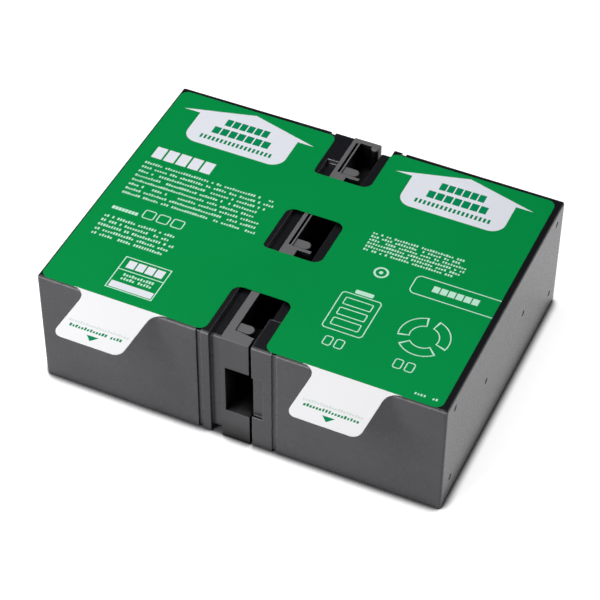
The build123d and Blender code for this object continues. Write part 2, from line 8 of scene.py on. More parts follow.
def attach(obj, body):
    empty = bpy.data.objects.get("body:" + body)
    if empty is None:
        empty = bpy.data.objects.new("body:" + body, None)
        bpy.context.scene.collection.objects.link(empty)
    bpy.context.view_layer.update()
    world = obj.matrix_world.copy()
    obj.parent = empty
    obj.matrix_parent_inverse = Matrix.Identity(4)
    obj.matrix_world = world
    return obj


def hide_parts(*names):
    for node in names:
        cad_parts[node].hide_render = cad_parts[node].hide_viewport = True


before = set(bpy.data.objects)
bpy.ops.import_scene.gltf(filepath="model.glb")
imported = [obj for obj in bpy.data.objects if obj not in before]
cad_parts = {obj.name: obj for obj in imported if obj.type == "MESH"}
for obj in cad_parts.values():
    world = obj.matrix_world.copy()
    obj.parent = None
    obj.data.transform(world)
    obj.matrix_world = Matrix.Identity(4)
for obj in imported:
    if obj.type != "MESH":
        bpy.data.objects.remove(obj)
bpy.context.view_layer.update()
mm = 0.001
print("frame loaded,", len(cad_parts), "parts")


# Camera, at the photograph's height and angle

cameraSettings = {
    "place": (0.3071, -0.6850, 0.7681),
    "right": (0.9090, 0.4168, 0.0052),
    "up": (-0.2968, 0.6384, 0.7102),
    "back": (0.2927, -0.6471, 0.7040),
    "lens": 132.0,
    "sensor": 36.0,
    "nearest": 0.05,
    "farthest": 30.0,
}


def addCamera(settings):
    data = bpy.data.cameras.new("camera")
    data.lens = settings["lens"]
    data.sensor_width = settings["sensor"]
    data.clip_start = settings["nearest"]
    data.clip_end = settings["farthest"]
    camera = bpy.data.objects.new("camera", data)
    axes = Matrix((settings["right"], settings["up"], settings["back"])).transposed()
    camera.matrix_world = Matrix.Translation(settings["place"]) @ axes.to_4x4()
    bpy.context.collection.objects.link(camera)
    bpy.context.scene.camera = camera


addCamera(cameraSettings)
bpy.context.scene.view_settings.view_transform = "Standard"
print("camera placed")


# Short ways to build node trees


def rgb(red, green, blue):
    return (red, green, blue, 1.0)


def addNode(tree, kind, inputs=None, **settings):
    node = tree.nodes.new(kind)
    for key, value in settings.items():
        setattr(node, key, value)
    for key, value in (inputs or {}).items():
        if isinstance(value, bpy.types.NodeSocket):
            tree.links.new(value, node.inputs[key])
        else:
            node.inputs[key].default_value = value
    return node


def mathNode(tree, operation, first, second=0.0, clamp=False):
    node = addNode(tree, "ShaderNodeMath", {0: first, 1: second}, operation=operation, use_clamp=clamp)
    return node.outputs[0]


def multiply(tree, first, second):
    return mathNode(tree, "MULTIPLY", first, second)


def vectorMath(tree, operation, first, second, output=0):
    node = addNode(tree, "ShaderNodeVectorMath", {0: first, 1: second}, operation=operation)
    return node.outputs[output]


def mapRange(tree, value, fromLow, fromHigh, toLow, toHigh):
    values = {0: value, 1: fromLow, 2: fromHigh, 3: toLow, 4: toHigh}
    return addNode(tree, "ShaderNodeMapRange", values, clamp=True).outputs[0]


# Sockets 6 and 7 of a Mix node are its two colours
def mixColour(tree, factor, first, second):
    values = {0: factor, 6: first, 7: second}
    return addNode(tree, "ShaderNodeMix", values, data_type="RGBA", clamp_factor=True).outputs[2]


# The second colour takes over as the texture's value goes from reach's low end to its high end
def blend(tree, texture, reach, first, second):
    return mixColour(tree, mapRange(tree, texture, *reach, 0.0, 1.0), first, second)


def noise(tree, place, scale, detail=3.0, roughness=0.5):
    values = {"Vector": place, "Scale": scale, "Detail": detail, "Roughness": roughness}
    return addNode(tree, "ShaderNodeTexNoise", values).outputs[0]


def openSky(tree, reach, samples):
    node = addNode(tree, "ShaderNodeAmbientOcclusion", {"Distance": reach}, samples=samples)
    return node.outputs["AO"]


def setColour(tree, shader, colour):
    tree.links.new(colour, shader.inputs["Base Color"])


# Most values of a noise texture lie in this reach
noiseReach = (0.3, 0.7)


def setRoughness(tree, shader, texture, limits):
    roughness = mapRange(tree, texture, *noiseReach, *limits)
    tree.links.new(roughness, shader.inputs["Roughness"])


def setBump(tree, shader, height, strength, deep, under=None):
    values = {"Strength": strength, "Distance": deep, "Height": height}
    if under:
        values["Normal"] = under
    bump = addNode(tree, "ShaderNodeBump", values)
    tree.links.new(bump.outputs[0], shader.inputs["Normal"])


def newMaterial(name):
    material = bpy.data.materials.new(name)
    material.use_nodes = True
    tree = material.node_tree
    tree.nodes.clear()
    shader = addNode(tree, "ShaderNodeBsdfPrincipled")
    addNode(tree, "ShaderNodeOutputMaterial", {"Surface": shader.outputs[0]})
    place = addNode(tree, "ShaderNodeTexCoord").outputs["Object"]
    return material, tree, shader, place


# Floor, world and lamps

floorSettings = {
    "size": 9.0,
    "drop": 0.0001,
    "colour": rgb(0.48, 0.48, 0.49),
    "paler": rgb(0.4896, 0.4896, 0.4998),
    "grainScale": 30.0,
    "roughness": 0.9,
    "glow": 0.90,
    "contactShade": rgb(0.15, 0.15, 0.155),
    "contactReach": 8.0 * mm,
    "contactOpenness": (0.52, 0.80),
}
worldSettings = {
    "horizon": rgb(0.62, 0.62, 0.63),
    "ceiling": rgb(0.07, 0.07, 0.075),
    "band": (0.02, 0.30),
}
lampSettings = {
    "keyLamp": {"place": (-0.66, -0.60, 0.40), "size": 0.45, "power": 1.2},
    "topLamp": {"place": (-0.35, 0.02, 1.10), "size": 0.75, "power": 7.7},
    "edgeLamp": {"place": (-0.36, -0.78, 0.82), "size": 0.4, "power": 5.0},
    "rearLamp": {"place": (0.85, 0.60, 0.45), "size": 0.6, "power": 1.2},
}


def seenByEye(tree):
    path = addNode(tree, "ShaderNodeLightPath").outputs
    eye = mathNode(tree, "ADD", path["Is Camera Ray"], path["Is Glossy Ray"], clamp=True)
    return mathNode(tree, "ADD", eye, path["Is Transmission Ray"], clamp=True)


# The floor glows white to the eye, except in a narrow painted shadow where the pack stands on it
def addFloor(settings):
    half = settings["size"] / 2
    mesh = bpy.data.meshes.new("floor")
    corners = [(-half, -half), (half, -half), (half, half), (-half, half)]
    mesh.from_pydata([(x, y, -settings["drop"]) for x, y in corners], [], [(0, 1, 2, 3)])
    floor = bpy.data.objects.new("floor", mesh)
    bpy.context.collection.objects.link(floor)
    material, tree, shader, place = newMaterial("paleFloor")
    shader.inputs["Roughness"].default_value = settings["roughness"]
    shader.inputs["Specular IOR Level"].default_value = 0.0
    shader.inputs["Emission Color"].default_value = rgb(1.0, 1.0, 1.0)
    grain = noise(tree, place, settings["grainScale"])
    plain = mixColour(tree, grain, settings["colour"], settings["paler"])
    openness = openSky(tree, settings["contactReach"], samples=16)
    reach = settings["contactOpenness"]
    # Painted shadow: colour goes to contactShade and the glow falls off where ambient occlusion finds
    # the pack close
    setColour(tree, shader, blend(tree, openness, reach, settings["contactShade"], plain))
    lit = mapRange(tree, openness, *reach, 0.0, settings["glow"])
    tree.links.new(multiply(tree, seenByEye(tree), lit), shader.inputs["Emission Strength"])
    mesh.materials.append(material)


def addWorld(settings):
    world = bpy.data.worlds.new("studio")
    bpy.context.scene.world = world
    world.use_nodes = True
    tree = world.node_tree
    tree.nodes.clear()
    direction = addNode(tree, "ShaderNodeTexCoord").outputs["Generated"]
    height = addNode(tree, "ShaderNodeSeparateXYZ", {0: direction}).outputs[2]
    sky = blend(tree, height, settings["band"], settings["horizon"], settings["ceiling"])
    path = addNode(tree, "ShaderNodeLightPath")
    shown = mixColour(tree, path.outputs["Is Camera Ray"], sky, rgb(1.0, 1.0, 1.0))
    background = addNode(tree, "ShaderNodeBackground", {"Color": shown, "Strength": 1.0})
    addNode(tree, "ShaderNodeOutputWorld", {"Surface": background.outputs[0]})


def addLamp(name, settings):
    data = bpy.data.lights.new(name, "AREA")
    data.shape = "SQUARE"
    data.size = settings["size"]
    data.energy = settings["power"]
    lamp = bpy.data.objects.new(name, data)
    place = Vector(settings["place"])
    aim = place.to_track_quat("Z", "Y").to_matrix().to_4x4()
    lamp.matrix_world = Matrix.Translation(place) @ aim
    bpy.context.collection.objects.link(lamp)


addFloor(floorSettings)
addWorld(worldSettings)
for lampName, lampValues in lampSettings.items():
    addLamp(lampName, lampValues)
print("floor, world and lamps added")


# Plastics: faces that look up get a painted tone for how light falls on them, painted shade on the case
# and lids, painted light on the frame

plasticSettings = {
    "casePlastic": {
        "colour": rgb(0.074, 0.073, 0.078),
        "top": rgb(0.0065, 0.0068, 0.0090),
        "highlightColour": rgb(0.62, 0.62, 0.64),
        "shine": 0.28,
        "roughness": (0.26, 0.28),
        "grain": 0.012,
        "grainScale": 1500.0,
        "bevel": 0.9 * mm,
        "recess": 3.0 * mm,
        "openness": (0.25, 0.6),
    },
    "lidPlastic": {
        "colour": rgb(0.056, 0.055, 0.060),
        "top": rgb(0.0065, 0.0068, 0.0090),
        "highlightColour": rgb(0.56, 0.56, 0.58),
        "shine": 0.33,
        "roughness": (0.26, 0.32),
        "grain": 0.02,
        "grainScale": 1500.0,
        "bevel": 0.7 * mm,
        "recess": 2.4 * mm,
        "openness": (0.2, 0.5),
    },
    "framePlastic": {
        "colour": rgb(0.070, 0.069, 0.072),
        "top": rgb(0.135, 0.134, 0.138),
        "highlightColour": rgb(0.40, 0.40, 0.41),
        "shine": 0.28,
        "roughness": (0.40, 0.50),
        "grain": 0.10,
        "grainScale": 1600.0,
        "bevel": 0.4 * mm,
        "recess": 20.0 * mm,
        "openness": (0.58, 0.90),
    },
    "housingPlastic": {
        "colour": rgb(0.010, 0.010, 0.011),
        "top": rgb(0.010, 0.010, 0.011),
        "highlightColour": rgb(0.05, 0.05, 0.05),
        "shine": 0.4,
        "roughness": (0.35, 0.5),
        "grain": 0.1,
        "grainScale": 1600.0,
        "bevel": 0.25 * mm,
        "recess": 6.0 * mm,
        "openness": (0.3, 0.7),
    },
    "capRubber": {
        "colour": rgb(0.012, 0.012, 0.012),
        "top": rgb(0.012, 0.012, 0.012),
        "highlightColour": rgb(0.03, 0.03, 0.03),
        "shine": 0.4,
        "roughness": (0.6, 0.75),
        "grain": 0.3,
        "grainScale": 1800.0,
        "bevel": 0.3 * mm,
        "recess": 3.0 * mm,
        "openness": (0.2, 0.5),
    },
}
# Four numbers: the reach of a texture's values, then of what they become
plasticTexture = {
    "cloudScale": 22.0,
    "cloudReach": (0.35, 0.7),
    "dust": 1.35,
    "paintedTopReach": (0.4, 0.8),
    "scuffScale": 260.0,
    "scuffOnHighlight": (0.35, 0.75, 0.45, 1.0),
    "recessOnHighlight": (0.0, 1.0, 1.0, 0.3),
    "deepShade": rgb(0.002, 0.002, 0.0025),
    "grainDeep": 0.04 * mm,
}
edgeSettings = {
    "frontFacing": (0.1, 0.5, 0.22, 1.0),
    "upper": (0.05, 0.5, 0.2, 1.0),
    "sharp": (0.86, 0.998, 1.0, 0.0),
    "roundRise": (0.2, 0.4, 0.0, 0.48),
    "roundFall": (0.6, 0.8, 1.0, 0.0),
}


# Painted highlight along the edges: upper edges get more of it than upright ones, and most where they
# face the front lamp.
# A rounded edge gets a painted highlight along its middle.
def paintedEdgeHighlight(tree, radius, settings):
    bevel = addNode(tree, "ShaderNodeBevel", {"Radius": radius}, samples=6).outputs[0]
    normal = addNode(tree, "ShaderNodeNewGeometry").outputs["Normal"]
    facing = vectorMath(tree, "DOT_PRODUCT", bevel, normal, output=1)
    parts = addNode(tree, "ShaderNodeSeparateXYZ", {0: bevel}).outputs
    frontFacing = mapRange(tree, mathNode(tree, "ABSOLUTE", parts[1]), *settings["frontFacing"])
    upperShare = mapRange(tree, parts[2], *settings["upper"])
    sharp = multiply(tree, mapRange(tree, facing, *settings["sharp"]), upperShare)
    rise = mapRange(tree, parts[2], *settings["roundRise"])
    fall = mapRange(tree, parts[2], *settings["roundFall"])
    share = mathNode(tree, "MAXIMUM", sharp, multiply(tree, rise, fall))
    return bevel, multiply(tree, share, frontFacing)


# Painted shade: deep recesses of the dark mouldings go to black where little open sky reaches them
def paintedRecessShade(tree, settings):
    openness = openSky(tree, settings["recess"], samples=8)
    return mapRange(tree, openness, *settings["openness"], 1.0, 0.0)


def plastic(name, settings):
    texture = plasticTexture
    material, tree, shader, place = newMaterial(name)
    bevel, edge = paintedEdgeHighlight(tree, settings["bevel"], edgeSettings)
    cloud = noise(tree, place, texture["cloudScale"], detail=4.0, roughness=0.6)
    scuff = noise(tree, place, texture["scuffScale"], detail=5.0, roughness=0.65)
    dusty = rgb(*[channel * texture["dust"] for channel in settings["colour"][:3]])
    side = blend(tree, cloud, texture["cloudReach"], settings["colour"], dusty)
    facing = addNode(tree, "ShaderNodeTexCoord").outputs["Normal"]
    upward = addNode(tree, "ShaderNodeSeparateXYZ", {0: facing}).outputs[2]
    # Painted shade and light: faces that look up take the top tone
    body = blend(tree, upward, texture["paintedTopReach"], side, settings["top"])
    # Painted shade: recesses darken towards deepShade
    recess = paintedRecessShade(tree, settings)
    shaded = mixColour(tree, recess, body, texture["deepShade"])
    scuffOnHighlight = mapRange(tree, scuff, *texture["scuffOnHighlight"])
    recessOnHighlight = mapRange(tree, recess, *texture["recessOnHighlight"])
    # Painted highlight on the edges, broken up by scuff noise and weaker in recesses
    highlightAmount = multiply(tree, edge, multiply(tree, scuffOnHighlight, recessOnHighlight))
    setColour(tree, shader, mixColour(tree, highlightAmount, shaded, settings["highlightColour"]))
    shader.inputs["Specular IOR Level"].default_value = settings["shine"]
    setRoughness(tree, shader, scuff, settings["roughness"])
    grain = noise(tree, place, settings["grainScale"], detail=2.0)
    setBump(tree, shader, grain, settings["grain"], texture["grainDeep"], bevel)
    return material


metalSettings = {
    "castLead": {
        "colour": rgb(0.36, 0.37, 0.39), "dull": rgb(0.20, 0.205, 0.215), "roughness": (0.4, 0.62),
    },
    "bladeTin": {
        "colour": rgb(0.72, 0.71, 0.69), "dull": rgb(0.52, 0.51, 0.50), "roughness": (0.2, 0.36),
    },
    "contactBrass": {
        "colour": rgb(0.80, 0.60, 0.28), "dull": rgb(0.60, 0.42, 0.18), "roughness": (0.22, 0.4),
    },
}
metalTexture = {
    "bloomScale": 420.0,
    "bloomReach": (0.38, 0.66),
    "rolling": (300.0, 300.0, 9000.0),
    "bump": 0.12,
    "bumpDeep": 0.03 * mm,
}


def metal(name, settings):
    texture = metalTexture
    material, tree, shader, place = newMaterial(name)
    shader.inputs["Metallic"].default_value = 1.0
    bloom = noise(tree, place, texture["bloomScale"], detail=5.0, roughness=0.62)
    tone = blend(tree, bloom, texture["bloomReach"], settings["colour"], settings["dull"])
    setColour(tree, shader, tone)
    setRoughness(tree, shader, bloom, settings["roughness"])
    stretch = addNode(tree, "ShaderNodeMapping", {"Vector": place, "Scale": texture["rolling"]})
    rolled = noise(tree, stretch.outputs[0], 1.0, detail=2.0)
    setBump(tree, shader, rolled, texture["bump"], texture["bumpDeep"])
    return material


powderSettings = {
    "positivePaste": {
        "colour": rgb(0.075, 0.032, 0.018), "pale": rgb(0.13, 0.06, 0.035), "pitch": 900.0,
    },
    "negativePaste": {
        "colour": rgb(0.21, 0.22, 0.23), "pale": rgb(0.33, 0.34, 0.355), "pitch": 900.0,
    },
    "glassMat": {
        "colour": rgb(0.74, 0.74, 0.72), "pale": rgb(0.88, 0.88, 0.86), "pitch": 2400.0,
    },
    "foamTape": {
        "colour": rgb(0.035, 0.035, 0.038), "pale": rgb(0.07, 0.07, 0.074), "pitch": 3000.0,
    },
}
powderTexture = {
    "patchScale": 140.0,
    "patchShare": (0.3, 0.7, 0.6, 1.6),
    "roughness": (0.78, 0.95),
    "shine": 0.3,
    "bump": 0.5,
    "bumpDeep": 0.1 * mm,
}


def powder(name, settings):
    texture = powderTexture
    material, tree, shader, place = newMaterial(name)
    grains = addNode(tree, "ShaderNodeTexVoronoi", {"Vector": place, "Scale": settings["pitch"]})
    cells = grains.outputs[0]
    patch = noise(tree, place, texture["patchScale"], detail=4.0)
    patchShare = mapRange(tree, patch, *texture["patchShare"])
    share = mathNode(tree, "MULTIPLY", cells, patchShare, clamp=True)
    setColour(tree, shader, mixColour(tree, share, settings["colour"], settings["pale"]))
    setRoughness(tree, shader, patch, texture["roughness"])
    shader.inputs["Specular IOR Level"].default_value = texture["shine"]
    setBump(tree, shader, cells, texture["bump"], texture["bumpDeep"])
    return material


softSettings = {
    "sealingResin": {
        "colour": rgb(0.42, 0.05, 0.03), "pale": rgb(0.55, 0.10, 0.06), "roughness": (0.12, 0.25),
    },
    "redJacket": {
        "colour": rgb(0.36, 0.012, 0.010), "pale": rgb(0.50, 0.03, 0.022), "roughness": (0.34, 0.48),
    },
    "blackJacket": {
        "colour": rgb(0.012, 0.012, 0.013), "pale": rgb(0.03, 0.03, 0.032), "roughness": (0.34, 0.48),
    },
}
softTexture = {
    "smearScale": 320.0,
    "smearReach": (0.35, 0.7),
    "grainScale": 3200.0,
    "bump": 0.15,
    "bumpDeep": 0.04 * mm,
}


def softCoat(name, settings):
    texture = softTexture
    material, tree, shader, place = newMaterial(name)
    smear = noise(tree, place, texture["smearScale"], detail=4.0, roughness=0.6)
    tone = blend(tree, smear, texture["smearReach"], settings["colour"], settings["pale"])
    setColour(tree, shader, tone)
    setRoughness(tree, shader, smear, settings["roughness"])
    grain = noise(tree, place, texture["grainScale"], detail=2.0)
    setBump(tree, shader, grain, texture["bump"], texture["bumpDeep"])
    return material


filmSettings = {
    "greenFilm": {"colour": rgb(0.0, 0.262, 0.056), "pale": rgb(0.0, 0.282, 0.064)},
    "whiteFilm": {"colour": rgb(0.90, 0.90, 0.915), "pale": rgb(0.93, 0.93, 0.94)},
    "whiteInk": {"colour": rgb(0.78, 0.80, 0.86), "pale": rgb(0.81, 0.83, 0.89)},
    "mintInk": {"colour": rgb(0.52, 0.82, 0.66), "pale": rgb(0.55, 0.85, 0.69)},
    "greenInk": {"colour": rgb(0.0, 0.24, 0.085), "pale": rgb(0.0, 0.27, 0.10)},
    "paleInk": {"colour": rgb(0.68, 0.76, 0.72), "pale": rgb(0.72, 0.79, 0.76)},
}
filmTexture = {
    "shine": 0.05,
    "driftScale": 9.0,
    "driftReach": (0.35, 0.65),
    "smearScale": 140.0,
    "roughness": (0.42, 0.52),
    "waveScale": 38.0,
    "wave": 0.25,
    "waveDeep": 0.4 * mm,
    "grainScale": 4200.0,
    "grain": 0.06,
    "grainDeep": 0.02 * mm,
}


def film(name, settings):
    texture = filmTexture
    material, tree, shader, place = newMaterial(name)
    shader.inputs["Specular IOR Level"].default_value = texture["shine"]
    drift = noise(tree, place, texture["driftScale"], detail=2.0)
    tone = blend(tree, drift, texture["driftReach"], settings["colour"], settings["pale"])
    setColour(tree, shader, tone)
    smear = noise(tree, place, texture["smearScale"], detail=3.0)
    setRoughness(tree, shader, smear, texture["roughness"])
    swell = addNode(tree, "ShaderNodeBump", {
        "Strength": texture["wave"],
        "Distance": texture["waveDeep"],
        "Height": noise(tree, place, texture["waveScale"], detail=1.0),
    })
    grain = noise(tree, place, texture["grainScale"], detail=2.0)
    setBump(tree, shader, grain, texture["grain"], texture["grainDeep"], swell.outputs[0])
    return material


makers = (
    (plastic, plasticSettings),
    (metal, metalSettings),
    (powder, powderSettings),
    (softCoat, softSettings),
    (film, filmSettings),
)
finishes = {}
for make, family in makers:
    for finishName, finishValues in family.items():
        finishes[finishName] = make(finishName, finishValues)
print("finishes made:", len(finishes))

blockFinishes = {
    "container": "casePlastic",
    "lid": "lidPlastic",
    "vent_cover": "lidPlastic",
    "valve_caps": "capRubber",
    "positive_terminal": "bladeTin",
    "negative_terminal": "bladeTin",
    "terminal_seals": "sealingResin",
    "positive_plates": "positivePaste",
    "negative_plates": "negativePaste",
    "separators": "glassMat",
    "cell_straps": "castLead",
}
middleFinishes = {
    "connector_frame": "framePlastic",
    "contact_housing": "housingPlastic",
    "positive_contact": "contactBrass",
    "negative_contact": "contactBrass",
    "lead_receptacles": "bladeTin",
    "series_link": "bladeTin",
    "positive_lead": "redJacket",
    "negative_lead": "blackJacket",
    "left_tape_strips": "foamTape",
    "right_tape_strip": "foamTape",
}


def dressNode(node, finish):
    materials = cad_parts[node].data.materials
    if len(materials) == 0:
        materials.append(finishes[finish])
    for index in range(len(materials)):
        materials[index] = finishes[finish]


for side in ("left_", "right_"):
    for part, finish in blockFinishes.items():
        dressNode(side + part, finish)
for part, finish in middleFinishes.items():
    dressNode(part, finish)
print("frame parts dressed")


# Flat shapes for the label: loops in millimetres, cut out of a sheet between two heights


# Rounds the corners of a closed outline whose points are (x, y, radius)
def outline(corners, steps=8):
    points = []
    count = len(corners)
    for index, (x, y, radius) in enumerate(corners):
        corner = Vector((x, y))
        if radius <= 0:
            points.append(tuple(corner))
            continue
        before = Vector(corners[index - 1][:2]) - corner
        after = Vector(corners[(index + 1) % count][:2]) - corner
        before.normalize()
        after.normalize()
        half = before.angle(after) / 2
        reach = radius / math.tan(half)
        centre = corner + (before + after).normalized() * (radius / math.sin(half))
        start = corner + before * reach - centre
        end = corner + after * reach - centre
        turn = start.angle_signed(end)
        for step in range(steps + 1):
            angle = -turn * step / steps
            cos, sin = math.cos(angle), math.sin(angle)
            x = centre.x + start.x * cos - start.y * sin
            y = centre.y + start.x * sin + start.y * cos
            points.append((x, y))
    return points


def rectangle(low, high, radius=0.0):
    (x0, y0), (x1, y1) = low, high
    return [(x0, y0, radius), (x1, y0, radius), (x1, y1, radius), (x0, y1, radius)]


# A rectangle drawn with a line: its outer and its inner loop
def drawnFrame(low, high, line, corner, innerCorner):
    (x0, y0), (x1, y1) = low, high
    return [
        outline(rectangle(low, high, corner)),
        outline(rectangle((x0 + line, y0 + line), (x1 - line, y1 - line), innerCorner)),
    ]


def circle(centre, radius, count=40):
    x, y = centre
    turns = [2 * math.pi * index / count for index in range(count)]
    return [(x + radius * math.cos(turn), y + radius * math.sin(turn)) for turn in turns]


def sector(centre, inner, outer, first, last, count=12):
    x, y = centre
    turns = [first + (last - first) * step / count for step in range(count + 1)]
    outside = [(x + outer * math.cos(turn), y + outer * math.sin(turn)) for turn in turns]
    inside = [(x + inner * math.cos(turn), y + inner * math.sin(turn)) for turn in reversed(turns)]
    return outside + inside


# The holder's finished shape as a plain mesh; the holder goes
def plainMesh(holder):
    bpy.context.view_layer.update()
    seen = holder.evaluated_get(bpy.context.evaluated_depsgraph_get())
    mesh = bpy.data.meshes.new_from_object(seen)
    bpy.data.objects.remove(holder)
    return mesh


def labelPiece(name, mesh):
    mesh.name = name
    piece = bpy.data.objects.new(name, mesh)
    bpy.context.collection.objects.link(piece)
    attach(piece, "root")
    return piece


def flatPiece(name, loops, low, high, finish):
    curve = bpy.data.curves.new(name, "CURVE")
    curve.dimensions = "2D"
    curve.fill_mode = "BOTH"
    curve.extrude = (high - low) / 2 * mm
    for loop in loops:
        spline = curve.splines.new("POLY")
        spline.points.add(len(loop) - 1)
        for point, (x, y) in zip(spline.points, loop):
            point.co = (x * mm, y * mm, 0.0, 1.0)
        spline.use_cyclic_u = True
    holder = bpy.data.objects.new(name + "Curve", curve)
    bpy.context.collection.objects.link(holder)
    mesh = plainMesh(holder)
    mesh.transform(Matrix.Translation((0, 0, (low + high) / 2 * mm)))
    mesh.materials.clear()
    mesh.materials.append(finishes[finish])
    return labelPiece(name, mesh)


labelSettings = {
    "base": 65.0,
    "filmTop": 65.24,
    "inkTop": 65.27,
    "overInkTop": 65.29,
    "centre": (-1.0, -0.9),
    "long": 198.4,
    "deep": 146.6,
    "corner": 4.0,
    "windowX": -1.35,
    "windowLong": 29.5,
    "windowCorner": 4.5,
    "windowTightCorner": 2.5,
    "frontWindow": 31.9,
    "rearWindow": 28.9,
    "middleWindow": 29.7,
    "middleY": 0.95,
    "tabWide": 34.2,
    "tabReach": 30.8,
    "tabEndGap": 24.6,
    "tabLean": 1.2,
    "tabCorner": 4.2,
    "tabRoot": 6.5,
}


def labelEdges(size):
    x, y = size["centre"]
    left, right = x - size["long"] / 2, x + size["long"] / 2
    front, back = y - size["deep"] / 2, y + size["deep"] / 2
    return left, right, front, back


# The front left corner of a window is cut tighter than the others
def windowMouth(size, edge, deep, inward):
    x = size["windowX"]
    half = size["windowLong"] / 2
    inner = edge + inward * deep
    leftCorner = size["windowCorner"] if inward > 0 else size["windowTightCorner"]
    mouth = [
        (x - half, edge, size["corner"]),
        (x - half, inner, leftCorner),
        (x + half, inner, size["windowCorner"]),
        (x + half, edge, size["corner"]),
    ]
    return mouth if inward > 0 else mouth[::-1]


def tabOutline(size, side):
    front = labelEdges(size)[2]
    offset = size["long"] / 2 - size["tabEndGap"] - size["tabWide"] / 2
    middle = size["centre"][0] + side * offset
    half = size["tabWide"] / 2
    tip = front - size["tabReach"]
    lean = size["tabLean"]
    return [
        (middle - half, front, size["tabRoot"]),
        (middle - half - lean, tip, size["tabCorner"]),
        (middle + half - lean, tip, size["tabCorner"]),
        (middle + half, front, size["tabRoot"]),
    ]


def sheetLoops(size):
    left, right, front, back = labelEdges(size)
    corner = size["corner"]
    outer = [(left, front, corner)]
    outer += tabOutline(size, -1)
    outer += windowMouth(size, front, size["frontWindow"], 1)
    outer += tabOutline(size, 1)
    outer += [(right, front, corner), (right, back, corner)]
    outer += windowMouth(size, back, size["rearWindow"], -1)
    outer += [(left, back, corner)]
    x = size["windowX"]
    half = size["windowLong"] / 2
    low = size["middleY"] - size["middleWindow"] / 2
    middle = rectangle((x - half, low), (x + half, low + size["middleWindow"]), size["windowCorner"])
    middle[0] = (x - half, low, size["windowTightCorner"])
    return [outline(outer), outline(middle)]


# The tabs are white from the front edge of the green sheet
def makeLabelFilm(size):
    sheet = flatPiece("label_film", sheetLoops(size), size["base"], size["filmTop"], "greenFilm")
    front = labelEdges(size)[2] * mm
    sheet.data.materials.append(finishes["whiteFilm"])
    shape = bmesh.new()
    shape.from_mesh(sheet.data)
    bmesh.ops.remove_doubles(shape, verts=shape.verts, dist=1e-6)
    everything = shape.verts[:] + shape.edges[:] + shape.faces[:]
    bmesh.ops.bisect_plane(shape, geom=everything, plane_co=(0, front, 0), plane_no=(0, 1, 0))
    for face in shape.faces:
        face.material_index = 1 if face.calc_center_median().y < front else 0
    shape.to_mesh(sheet.data)
    shape.free()
    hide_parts("top_label")


makeLabelFilm(labelSettings)
print("label film made")


# Rows of plain blocks stand where the label has words

# seeds: what is added to a row's seed for each kind of draw
letterSettings = {
    "lower": 0.26,
    "thinner": 0.2,
    "firstGap": 1.5,
    "seeds": {"gap": 0, "low": 3, "thin": 5, "rowEnd": 7},
}


def groupSocket(tree, name, kind, direction="INPUT"):
    return tree.interface.new_socket(name, in_out=direction, socket_type=kind)


# Sockets 7 and 8 of a Random Value node are its ID and its seed
def randomShare(tree, seed, offset, place):
    values = {7: place, 8: mathNode(tree, "ADD", seed, offset)}
    return addNode(tree, "FunctionNodeRandomValue", values).outputs[1]


